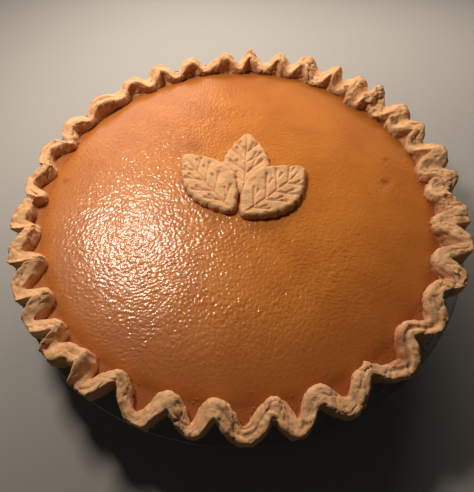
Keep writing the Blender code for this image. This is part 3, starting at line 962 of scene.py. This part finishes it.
def leaf_piece(name):
    """One leaf as a closed grid: its top, a rounded edge and its underside."""
    stem, forward, sideways, length = leaf_frame(name)
    _, _, thickness, halves, bend, seed = LEAVES[name]
    share = np.linspace(0, 1, LEAF_ROWS)
    lane = np.sin(np.linspace(-0.5, 0.5, LEAF_LANES) * np.pi)
    along = share[:, None] * length * np.ones_like(lane)
    widest = np.where(lane > 0, *halves)[None, :] * MM
    half = leaf_half_width(share[:, None], widest)
    ragged = lattice_noise(np.stack(np.broadcast_arrays(along, np.sign(lane), 0.0), axis=-1), 2.6 * MM, seed)
    side = lane * (half + 0.45 * MM * ragged * np.sin(np.pi * share)[:, None] ** 0.5)
    x = stem[0] + along * forward[0] + side * sideways[0]
    y = stem[1] + along * forward[1] + side * sideways[1]
    floor = filling_top(np.hypot(x, y)) - 0.3 * MM
    inset = np.minimum(half - np.abs(side), np.minimum(along, length - along) + 0.4 * MM)
    round_off = np.sqrt(np.clip(1 - (1 - np.clip(inset / (3.2 * MM), 0, 1)) ** 2, 0, 1))
    flat = np.stack([x, y, 0 * x], axis=-1)
    puff = 0.75 * MM * lattice_noise(flat, 8 * MM, seed + 1)
    puff = puff + 0.2 * MM * lattice_noise(flat, 3 * MM, seed + 2)
    veins = vein_depth(along, side, length, halves, bend, seed)
    body = thickness * MM * (0.16 + 0.84 * round_off) + (puff - veins) * round_off
    if name == "leaf_back":
        covered = np.maximum(depth_inside("leaf_left", x, y), depth_inside("leaf_right", x, y))
        body = 0.3 * MM + (body - 0.3 * MM) * (1 - smooth_step(covered, 0.4 * MM, 1.6 * MM))
    else:
        body = body + OVERLAP_LIFT * smooth_step(depth_inside("leaf_back", x, y), -4 * MM, 3 * MM)
    upper = np.stack([x, y, floor + body], axis=-1).reshape(-1, 3)
    lower = np.stack([x, y, floor], axis=-1).reshape(-1, 3)
    index = np.arange(LEAF_ROWS * LEAF_LANES).reshape(LEAF_ROWS, LEAF_LANES)
    sheet = np.stack([index[:-1, :-1], index[1:, :-1], index[1:, 1:], index[:-1, 1:]], axis=-1).reshape(-1, 4)
    edge_loop = np.concatenate([index[0, :-1], index[:-1, -1], index[-1, :0:-1], index[:0:-1, 0]])
    count = index.size
    after = np.roll(edge_loop, -1)
    wall = np.stack([edge_loop, edge_loop + count, after + count, after], axis=-1)
    faces = np.vstack([sheet, (sheet + count)[:, ::-1], wall[:, ::-1]])
    made = add_mesh(name + "_form", np.vstack([upper, lower]), faces)
    darkened = 0.08 + 0.35 * (1 - smooth_step(inset, 0, 1.8 * MM))
    # Painted shade: darker where the veins are pressed deepest.
    darkened = darkened + 0.06 * smooth_step(veins, 0.6 * MM, 1.2 * MM)
    # Painted shade: the underside is darker, so the leaf's sides darken towards the filling.
    add_attribute(made, "toast_and_shade", np.concatenate([darkened.ravel(), darkened.ravel() + 0.3]))
    add_attribute(made, "film", np.zeros(2 * count))
    return bake_tree(made, leaf_relief, LEAF_SIZES, name.replace("leaf", "pastry_leaf"), leaf_pastry)


leaves = {name: leaf_piece(name) for name in LEAVES}


# %% [markdown]
# ## Small loose things
#
# Specks of spice show in the custard's skin, tiny bubbles stayed along its edge, and crumbs
# fell on the plate's flange. Each is one simple shape repeated, so a node tree scatters it: it
# drops points on a surface, more where the number `where` on the mesh is higher, puts a small
# ball on each, turned and sized by chance from a fixed seed, and makes it uneven.

# %% Scatter tree
SCATTER_SIZES = {
    "Density": 1000.0,
    "Smallest": 0.3 * MM,
    "Largest": 0.7 * MM,
    "Flatness": 1.0,
    "Unevenness": 0.3,
    "Seed": 1,
}


def scatter_tree(name, finish, facets):
    """Small balls on a surface; sizes are radii, and a flatness under 1 makes discs."""
    tree, given = new_tree(name, SCATTER_SIZES)
    where = add_node(tree, "GeometryNodeInputNamedAttribute", {"Name": "where"}, data_type="FLOAT")
    density = add_node(tree, "ShaderNodeMath", {0: where, 1: given["Density"]}, operation="MULTIPLY")
    dropped = add_node(
        tree,
        "GeometryNodeDistributePointsOnFaces",
        {"Mesh": given["Geometry"], "Density": density, "Seed": given["Seed"]},
    )
    ball = add_node(tree, "GeometryNodeMeshIcoSphere", {"Radius": 1.0, "Subdivisions": facets})
    squash = add_node(tree, "ShaderNodeCombineXYZ", {"X": 1.0, "Y": 1.0, "Z": given["Flatness"]})
    shape = add_node(tree, "GeometryNodeTransform", {"Geometry": ball.outputs["Mesh"], "Scale": squash})
    size = add_node(
        tree,
        "FunctionNodeRandomValue",
        {"Min": given["Smallest"], "Max": given["Largest"], "Seed": given["Seed"]},
        data_type="FLOAT",
    )
    placed = add_node(
        tree,
        "GeometryNodeInstanceOnPoints",
        {
            "Points": dropped.outputs["Points"],
            "Instance": shape,
            "Rotation": dropped.outputs["Rotation"],
            "Scale": size,
        },
    )
    real = add_node(tree, "GeometryNodeRealizeInstances", {"Geometry": placed})
    place = add_node(tree, "GeometryNodeInputPosition")
    noise = add_node(tree, "ShaderNodeTexNoise", {"Vector": place, "Scale": 1 / (0.9 * MM), "Detail": 0.0})
    centred = add_node(
        tree, "ShaderNodeVectorMath", {0: noise.outputs["Color"], 1: (-0.5, -0.5, -0.5)}, operation="ADD"
    )
    amount = add_node(
        tree, "ShaderNodeMath", {0: given["Largest"], 1: given["Unevenness"]}, operation="MULTIPLY"
    )
    shift = add_node(tree, "ShaderNodeVectorMath", {0: centred, "Scale": amount}, operation="SCALE")
    uneven = add_node(tree, "GeometryNodeSetPosition", {"Geometry": real, "Offset": shift})
    close_tree(tree, uneven, finish)
    return tree


def copy_of(made, where):
    """A copy of a piece to scatter on, with the number that says where."""
    copied = bpy.data.objects.new("source", made.data.copy())
    bpy.context.scene.collection.objects.link(copied)
    add_attribute(copied, "where", where)
    return copied


def vertex_places(made):
    """All vertices of a piece as an array (n, 3)."""
    flat_list = np.empty(3 * len(made.data.vertices), np.float32)
    made.data.vertices.foreach_get("co", flat_list)
    return flat_list.reshape(-1, 3).astype(float)


# %% Spice in the skin
def ground_spice():
    """Dark specks of ground cinnamon and clove, matt and a little uneven in colour."""
    made, tree, shader = new_material("ground spice")
    place = add_node(tree, "ShaderNodeTexCoord").outputs["Object"]
    noise = add_node(tree, "ShaderNodeTexNoise", {"Vector": place, "Scale": 1 / (2 * MM)})
    light, dark = linear("8A4A20"), linear("6A3516")
    colour = add_node(tree, "ShaderNodeMix", {"Factor": noise, "A": light, "B": dark}, data_type="RGBA")
    tree.links.new(colour.outputs["Result"], shader.inputs["Base Color"])
    shader.inputs["Roughness"].default_value = 0.6
    return made


places = vertex_places(filling)
reach = np.hypot(places[:, 0], places[:, 1])
degrees = np.degrees(np.arctan2(places[:, 1], places[:, 0]))
on_top = places[:, 2] > 45.2 * MM
spice = ground_spice()
patchy = np.clip(0.5 + lattice_noise(places, 22 * MM, 41), 0, 1)
spice_where = on_top * (reach < 112 * MM) * patchy * (0.35 + 0.65 * facing(degrees, 335, -0.5, 0.7))
spice_specks = bake_tree(
    copy_of(filling, spice_where),
    scatter_tree("spice in the skin", spice, 1),
    {"Density": 14000.0, "Smallest": 0.15 * MM, "Largest": 0.42 * MM, "Flatness": 0.25, "Seed": 3},
    "spice_specks",
    spice,
)

# %% Bubbles along the edge
bubble_where = on_top * smooth_step(reach, 109.5 * MM, 113 * MM)
bubble_where = bubble_where * (0.25 + 0.75 * facing(degrees, 285, -0.4, 0.6))
edge_bubbles = bake_tree(
    copy_of(filling, bubble_where),
    scatter_tree("bubbles along the edge", custard, 2),
    {"Density": 110000.0, "Smallest": 0.2 * MM, "Largest": 0.65 * MM, "Flatness": 0.4, "Seed": 5},
    "edge_bubbles",
    custard,
)

# %% Crumbs on the flange
FLANGE_CRUMBS = ((313, 13, 1.0), (345, 9, 0.5), (283, 6, 0.35), (200, 20, 0.08))  # degrees, width, share
flange_angle = np.linspace(0, math.tau, 240, endpoint=False)
flange_rings = np.array([118.0, 122.0, 125.0, 127.5])[:, None] * MM
flange_points = polar(flange_angle[None, :], flange_rings, PLATE_HEIGHT).reshape(-1, 3)
flange = add_mesh("flange", flange_points, grid_faces(len(flange_rings), len(flange_angle)))
flange_degrees = np.tile(np.degrees(flange_angle), len(flange_rings))
crumb_where = sum(share * hill(flange_degrees, at, width) for at, width, share in FLANGE_CRUMBS)
add_attribute(flange, "where", crumb_where)
crumbs = bake_tree(
    flange,
    scatter_tree("crumbs on the flange", leaf_pastry, 1),
    {"Density": 260000.0, "Smallest": 0.2 * MM, "Largest": 0.9 * MM, "Flatness": 0.8, "Seed": 8},
    "crumbs",
    leaf_pastry,
)


# %% [markdown]
# ## Flakes
#
# At the back right the rim came apart in thin layers. A few flakes of them lie loose on the
# slope above the filling, and some more elsewhere on the rim. Each is a small uneven disc, a
# little curled; a ray straight down finds the place and the slope of the dough under it.

# %% Loose flakes
FLAKES = (  # angle, distance from the middle, half length in mm, thickness in mm
    (33.5, 113.0, 5.0, 1.0),
    (39.0, 114.0, 3.4, 0.8),
    (47.0, 113.5, 3.0, 0.9),
    (27.5, 114.0, 2.8, 0.8),
    (54.0, 113.5, 3.2, 0.8),
    (61.0, 114.5, 2.4, 0.7),
    (308.5, 114.5, 3.4, 0.9),
    (334.0, 122.0, 2.6, 1.0),
    (116.5, 120.0, 2.8, 0.9),
)
FLAKE_RINGS = 6
FLAKE_SPOKES = 22
ABOVE_ALL = 0.08  # height from which the rays start
FLAKE_SIZES = {"Lump Height": 0.2 * MM, "Crack Depth": 0.0}


def flake(surface, degrees, distance, half_length, thickness, seed):
    """Points and faces of one flake that lies on a surface."""
    random = np.random.default_rng(seed)
    start = Vector(polar(math.radians(degrees), distance * MM, ABOVE_ALL).tolist())
    hit, normal, _, _ = surface.ray_cast(start, Vector((0, 0, -1)))
    turn = normal.to_track_quat("Z", "Y").to_matrix()
    spoke = np.arange(FLAKE_SPOKES) * math.tau / FLAKE_SPOKES
    uneven = np.resize(random.uniform(-1, 1, 7), 8)
    ragged = 1 + 0.28 * np.interp(spoke, np.linspace(0, math.tau, 8), uneven)
    share = np.linspace(0, 1, FLAKE_RINGS + 1)[1:, None]
    spin = random.uniform(0, math.tau)
    along = share * ragged * np.cos(spoke)
    across = share * ragged * np.sin(spoke) * 0.62
    x = half_length * MM * (along * math.cos(spin) - across * math.sin(spin))
    y = half_length * MM * (along * math.sin(spin) + across * math.cos(spin))
    curl = 0.16 * half_length * MM * (along**2 - across)
    half = 0.5 * thickness * MM * np.sqrt(np.clip(1.04 - share**6, 0, 1)) * np.ones_like(spoke)
    rings = [np.stack([x, y, curl + side * half], axis=-1).reshape(-1, 3) for side in (1, -1)]
    ends = [[[0, 0, side * 0.5 * thickness * MM]] for side in (1, -1)]
    local = np.vstack([ends[0], rings[0], ends[1], rings[1]])
    count = len(rings[0]) + 1
    faces = [(0, 1 + k, 1 + (k + 1) % FLAKE_SPOKES) for k in range(FLAKE_SPOKES)]
    faces += [(a + 1, d + 1, c + 1, b + 1) for a, b, c, d in grid_faces(FLAKE_RINGS, FLAKE_SPOKES)]
    faces += [tuple(count + corner for corner in face[::-1]) for face in faces]
    rim_start = 1 + (FLAKE_RINGS - 1) * FLAKE_SPOKES
    for k in range(FLAKE_SPOKES):
        a, b = rim_start + k, rim_start + (k + 1) % FLAKE_SPOKES
        faces.append((a, count + a, count + b, b))
    placed = local @ np.array(turn).T + np.array(hit) + np.array(normal) * 0.25 * thickness * MM
    return placed, faces


surface = BVHTree.FromObject(rim, bpy.context.evaluated_depsgraph_get())
flake_points, flake_faces = [], []
for seed, (degrees, distance, half_length, thickness) in enumerate(FLAKES):
    placed, faces = flake(surface, degrees, distance, half_length, thickness, 60 + seed)
    first = sum(len(part) for part in flake_points)
    flake_faces += [tuple(first + corner for corner in face) for face in faces]
    flake_points.append(placed)
flakes = add_mesh("flakes_form", np.vstack(flake_points), flake_faces)
add_attribute(flakes, "toast_and_shade", np.full(len(flakes.data.vertices), 0.05))
add_attribute(flakes, "film", np.zeros(len(flakes.data.vertices)))
flakes = bake_tree(flakes, leaf_relief, FLAKE_SIZES, "pastry_flakes", leaf_pastry)


# %% [markdown]
# ## Floor, light and camera
#
# The pie stands on a plain pale floor. A small soft lamp hangs over its left, and its mirror
# image in the pebbles is the glitter on the filling. A wide, low wash from behind makes the
# back brighter than the front; it shows in no reflection, so that it doesn't veil the colour.
# A faint glow at the back left lays a haze on the skin there. The sky adds only a trace, which
# keeps the shadows in the rim deep.

# %% Stage
def floor_paint():
    """Plain matt pale grey."""
    made, _, shader = new_material("matt pale floor")
    shader.inputs["Base Color"].default_value = linear("AEACA8")
    shader.inputs["Roughness"].default_value = 0.85
    shader.inputs["Specular IOR Level"].default_value = 0.2
    return made


FLOOR_HALF = 3.0
corners = [(x * FLOOR_HALF, y * FLOOR_HALF, 0) for x, y in ((-1, -1), (1, -1), (1, 1), (-1, 1))]
floor = add_mesh("floor", corners, [(0, 1, 2, 3)])
floor.data.materials.append(floor_paint())

SKY = 0.02
WARM_WHITE = "FFF1E2"
world = bpy.data.worlds.new("studio")
bpy.context.scene.world = world
world.use_nodes = True
world.node_tree.nodes["Background"].inputs["Color"].default_value = linear("FFFFFF")
world.node_tree.nodes["Background"].inputs["Strength"].default_value = SKY


def soft_light(name, place, target, size, watts, sheen=True):
    """A rectangular soft light that faces its target; without sheen it shows in no reflection."""
    data = bpy.data.lights.new(name, "AREA")
    data.shape = "RECTANGLE"
    data.size, data.size_y = size
    data.energy = watts
    data.color = linear(WARM_WHITE)[:3]
    made = bpy.data.objects.new(name, data)
    made.location = place
    made.rotation_euler = (Vector(target) - Vector(place)).to_track_quat("-Z", "Y").to_euler()
    made.visible_glossy = sheen
    bpy.context.scene.collection.objects.link(made)
    print(name, watts, "W")


soft_light("lamp", (-0.148, 0.132, 0.33), (-0.06, 0.06, 0.05), (0.075, 0.05), 0.93)
soft_light("wash", (0.08, 0.28, 0.18), (0.03, 0.0, 0.05), (0.4, 0.1), 0.78, sheen=False)
soft_light("glow", (-0.12, 0.30, 0.22), (-0.03, 0.05, 0.05), (0.2, 0.1), 0.18)

# %% Camera
CAMERA_PLACE = (-1.2 * MM, -147.1 * MM, 257.9 * MM)
CAMERA_TILT = math.radians(60.74)  # below the horizon
CAMERA_ROLL = math.radians(-2.985)
FOCAL_LENGTH = 32.03  # millimetres, on a sensor 36 mm wide
lens_data = bpy.data.cameras.new("camera")
lens_data.lens = FOCAL_LENGTH
lens_data.clip_start = 0.01
camera = bpy.data.objects.new("camera", lens_data)
print("camera", round(lens_data.lens), "mm, looks", round(math.degrees(CAMERA_TILT)), "degrees down")
camera.location = CAMERA_PLACE
right = Vector((1, 0, 0))
up = Vector((0, math.sin(CAMERA_TILT), math.cos(CAMERA_TILT)))
turned_right = right * math.cos(CAMERA_ROLL) + up * math.sin(CAMERA_ROLL)
turned_up = up * math.cos(CAMERA_ROLL) - right * math.sin(CAMERA_ROLL)
towards_eye = turned_right.cross(turned_up)
camera.rotation_euler = Matrix((turned_right, turned_up, towards_eye)).transposed().to_euler()
bpy.context.scene.collection.objects.link(camera)
bpy.context.scene.camera = camera
bpy.context.scene.view_settings.view_transform = "Standard"

# %% [markdown]
# ## The pieces
#
# Every piece rides on the pie's one body and stands for its plain solid.

# %% Ride and replace
PIECES = (
    (dish, "glass_dish", "dish_glass"),
    (rim, "crust", "crust_pastry"),
    (shell, "crust", "crust_pastry"),
    (flakes, "crust", "crust_pastry"),
    (crumbs, "crust", "crust_pastry"),
    (filling, "filling", "pumpkin_custard"),
    (spice_specks, "filling", "pumpkin_custard"),
    (edge_bubbles, "filling", "pumpkin_custard"),
    *((leaves[name], name, "leaf_pastry") for name in LEAVES),
)
for piece, solid, slot in PIECES:
    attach(piece, "root")
    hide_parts(solid)
print(len(PIECES), "pieces,", sum(len(piece.data.polygons) for piece, _, _ in PIECES), "faces")
